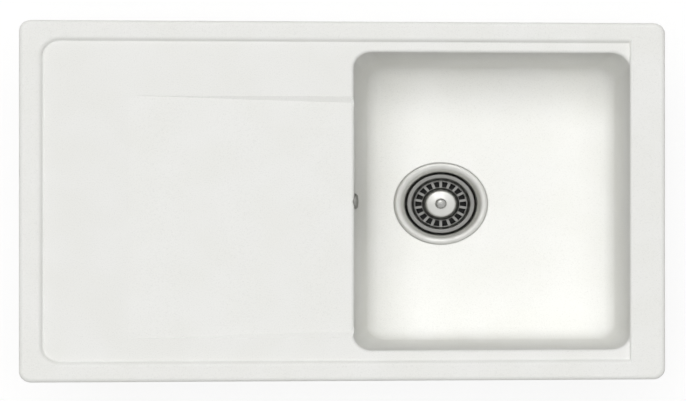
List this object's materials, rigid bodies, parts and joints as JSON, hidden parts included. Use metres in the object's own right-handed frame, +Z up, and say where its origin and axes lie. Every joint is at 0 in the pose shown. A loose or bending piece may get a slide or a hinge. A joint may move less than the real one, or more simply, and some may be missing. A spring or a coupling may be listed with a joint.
{
  "type": "kitchen sink",
  "caption": "Inset kitchen sink moulded in granite composite, with a rectangular bowl, a draining board, a lift-out basket strainer, an overflow and swing-out worktop clips.",
  "frame": {"origin": "middle of the sink's outline at the level of the worktop's top face", "axes": "+Z up, +X to the right towards the bowl, +Y to the back towards the wall"},
  "size_m": [0.78, 0.5, 0.288],
  "materials": {
    "granite_composite": "white, moulded, matt, with fine grain",
    "black_rubber": "matt",
    "stainless_steel": "satin",
    "zinc_plated_steel": "bright zinc plate",
    "nut_plastic": "black, glass filled",
    "brass": "machined",
    "white_plastic": "moulded, matt"
  },
  "bodies": {
    "sink": {"sink_basin": "granite_composite", "rim_seal": "black_rubber", "clip_bracket_1": "zinc_plated_steel", "clip_bracket_2": "zinc_plated_steel", "clip_bracket_3": "zinc_plated_steel", "clip_bracket_4": "zinc_plated_steel", "clip_bracket_5": "zinc_plated_steel", "clip_bracket_6": "zinc_plated_steel", "clip_studs": "zinc_plated_steel", "clip_screws": "zinc_plated_steel", "clip_inserts": "brass", "strainer_flange": "stainless_steel", "flange_gasket": "black_rubber", "under_gasket": "black_rubber", "centre_bolt": "stainless_steel", "bolt_nut": "brass", "waste_body": "white_plastic", "overflow_rose": "stainless_steel", "rose_seal": "black_rubber", "overflow_tail": "white_plastic", "tail_seal": "black_rubber", "overflow_pipe": "white_plastic", "overflow_nut_upper": "white_plastic", "overflow_nut_lower": "white_plastic", "overflow_seal_upper": "black_rubber", "overflow_seal_lower": "black_rubber"},
    "strainer": {"basket_pan": "stainless_steel", "basket_knob": "stainless_steel", "plug_seal": "black_rubber", "plug_washer": "stainless_steel", "stem_clip": "stainless_steel"},
    "nut_1": {"clip_nut_1": "nut_plastic"},
    "claw_1": {"clip_claw_1": "zinc_plated_steel"},
    "nut_2": {"clip_nut_2": "nut_plastic"},
    "claw_2": {"clip_claw_2": "zinc_plated_steel"},
    "nut_3": {"clip_nut_3": "nut_plastic"},
    "claw_3": {"clip_claw_3": "zinc_plated_steel"},
    "nut_4": {"clip_nut_4": "nut_plastic"},
    "claw_4": {"clip_claw_4": "zinc_plated_steel"},
    "nut_5": {"clip_nut_5": "nut_plastic"},
    "claw_5": {"clip_claw_5": "zinc_plated_steel"},
    "nut_6": {"clip_nut_6": "nut_plastic"},
    "claw_6": {"clip_claw_6": "zinc_plated_steel"}
  },
  "joints": [
    {"name": "strainer_lift", "type": "slide", "parent": "sink", "child": "strainer", "axis": [0, 0, 1], "range_m": [0, 0.08]},
    {"name": "nut_climb_1", "type": "slide", "parent": "sink", "child": "nut_1", "axis": [0, 0, 1], "range_m": [0, 0.0145]},
    {"name": "claw_swing_1", "type": "hinge", "parent": "nut_1", "child": "claw_1", "pos_m": [-0.23, -0.226, -0.0515], "axis": [0, 0, -1], "range_deg": [0, 90]},
    {"name": "nut_climb_2", "type": "slide", "parent": "sink", "child": "nut_2", "axis": [0, 0, 1], "range_m": [0, 0.0145]},
    {"name": "claw_swing_2", "type": "hinge", "parent": "nut_2", "child": "claw_2", "pos_m": [0.18, -0.226, -0.0515], "axis": [0, 0, -1], "range_deg": [0, 90]},
    {"name": "nut_climb_3", "type": "slide", "parent": "sink", "child": "nut_3", "axis": [0, 0, 1], "range_m": [0, 0.0145]},
    {"name": "claw_swing_3", "type": "hinge", "parent": "nut_3", "child": "claw_3", "pos_m": [0.366, 0, -0.0515], "axis": [0, 0, -1], "range_deg": [0, 90]},
    {"name": "nut_climb_4", "type": "slide", "parent": "sink", "child": "nut_4", "axis": [0, 0, 1], "range_m": [0, 0.0145]},
    {"name": "claw_swing_4", "type": "hinge", "parent": "nut_4", "child": "claw_4", "pos_m": [0.18, 0.226, -0.0515], "axis": [0, 0, -1], "range_deg": [0, 90]},
    {"name": "nut_climb_5", "type": "slide", "parent": "sink", "child": "nut_5", "axis": [0, 0, 1], "range_m": [0, 0.0145]},
    {"name": "claw_swing_5", "type": "hinge", "parent": "nut_5", "child": "claw_5", "pos_m": [-0.23, 0.226, -0.0515], "axis": [0, 0, -1], "range_deg": [0, 90]},
    {"name": "nut_climb_6", "type": "slide", "parent": "sink", "child": "nut_6", "axis": [0, 0, 1], "range_m": [0, 0.0145]},
    {"name": "claw_swing_6", "type": "hinge", "parent": "nut_6", "child": "claw_6", "pos_m": [-0.366, 0, -0.0515], "axis": [0, 0, -1], "range_deg": [0, 90]}
  ]
}
